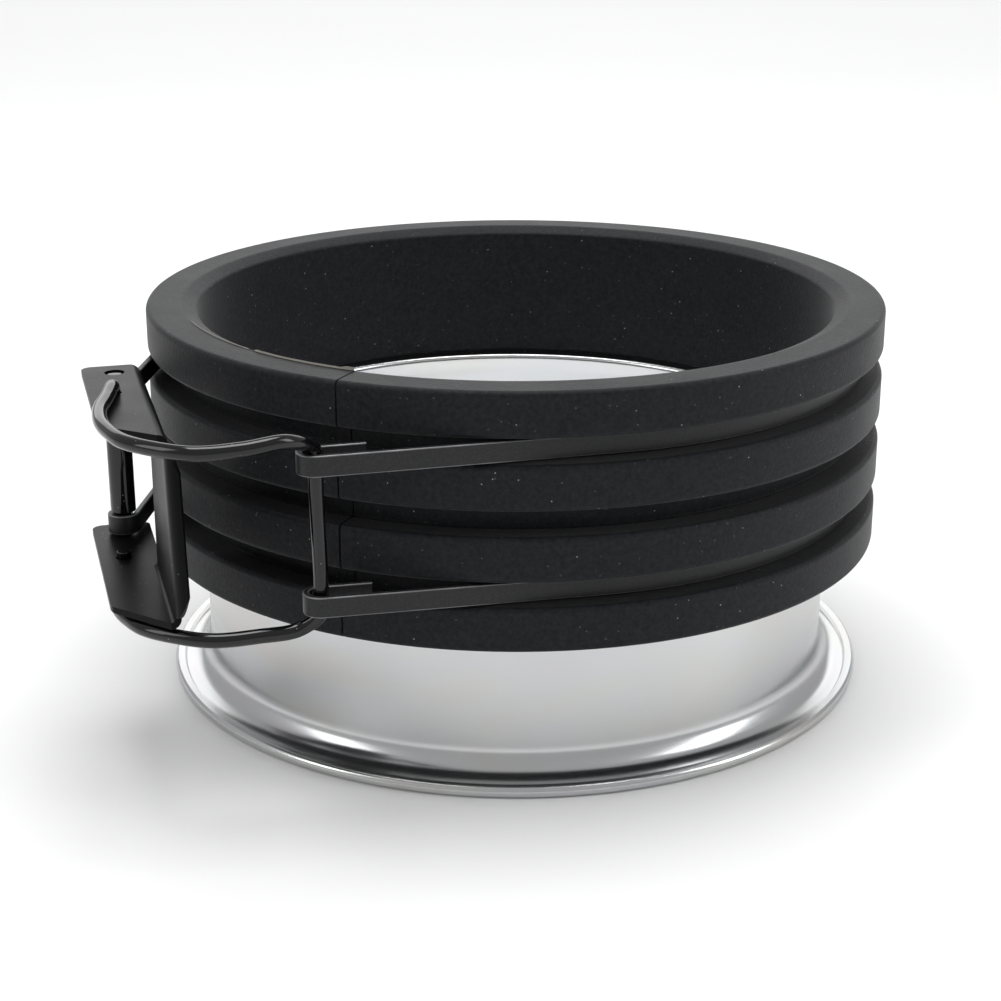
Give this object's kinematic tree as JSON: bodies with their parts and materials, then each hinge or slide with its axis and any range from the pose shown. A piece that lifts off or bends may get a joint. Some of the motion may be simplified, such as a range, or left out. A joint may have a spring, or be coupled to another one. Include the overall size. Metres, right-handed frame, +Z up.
{
  "type": "snoot mounting collar",
  "caption": "Ribbed rubber clamp collar on a spun metal ring, with a two-strap band and an over-centre wire latch; it fits a snoot to a flash head.",
  "frame": {"origin": "centre of the bounding box's footprint, on the surface the ring's flange stands on; the collar's axis is at x 3.1 mm, y 6.83 mm", "axes": "+Z up along the collar's axis, -Y towards the side where the straps hook the bail, -X towards the latch lever"},
  "size_m": [0.1242, 0.1317, 0.0617],
  "materials": {
    "spun_aluminium": "bright spun aluminium with fine turning lines",
    "collar_rubber": "matte moulded black rubber with a little dust",
    "strap_steel": "semi-gloss black, bright worn edges",
    "latch_steel": "glossy black enamel"
  },
  "bodies": {
    "collar": {"flange_ring": "spun_aluminium", "rubber_collar": "collar_rubber", "upper_strap": "strap_steel", "lower_strap": "strap_steel", "hinge_pin": "latch_steel", "hinge_sleeve": "latch_steel"},
    "strap_ends": {"upper_strap_end": "strap_steel", "lower_strap_end": "strap_steel"},
    "lever": {"lever": "latch_steel"},
    "bail": {"wire_bail": "latch_steel"}
  },
  "joints": [
    {"name": "lever_swing", "type": "hinge", "parent": "collar", "child": "lever", "pos_m": [-0.0569, -0.02117, 0.0427], "axis": [0, 0, 1], "range_deg": [-175, 0]},
    {"name": "bail_swing", "type": "hinge", "parent": "lever", "child": "bail", "pos_m": [-0.05507, -0.03197, 0.0427], "axis": [0, 0, 1], "range_deg": [0, 158.7]},
    {"name": "strap_ends_draw", "type": "hinge", "parent": "collar", "child": "strap_ends", "pos_m": [-0.01486, -0.03413, 0.0427], "axis": [0, 0, 1], "range_deg": [-48.1, 0], "deforming": ["upper_strap_end", "lower_strap_end"]}
  ],
  "couplings": [
    {"joint": "bail_swing", "follows": "lever_swing", "ratio": -0.90651},
    {"joint": "strap_ends_draw", "follows": "lever_swing", "ratio": 0.27429}
  ]
}
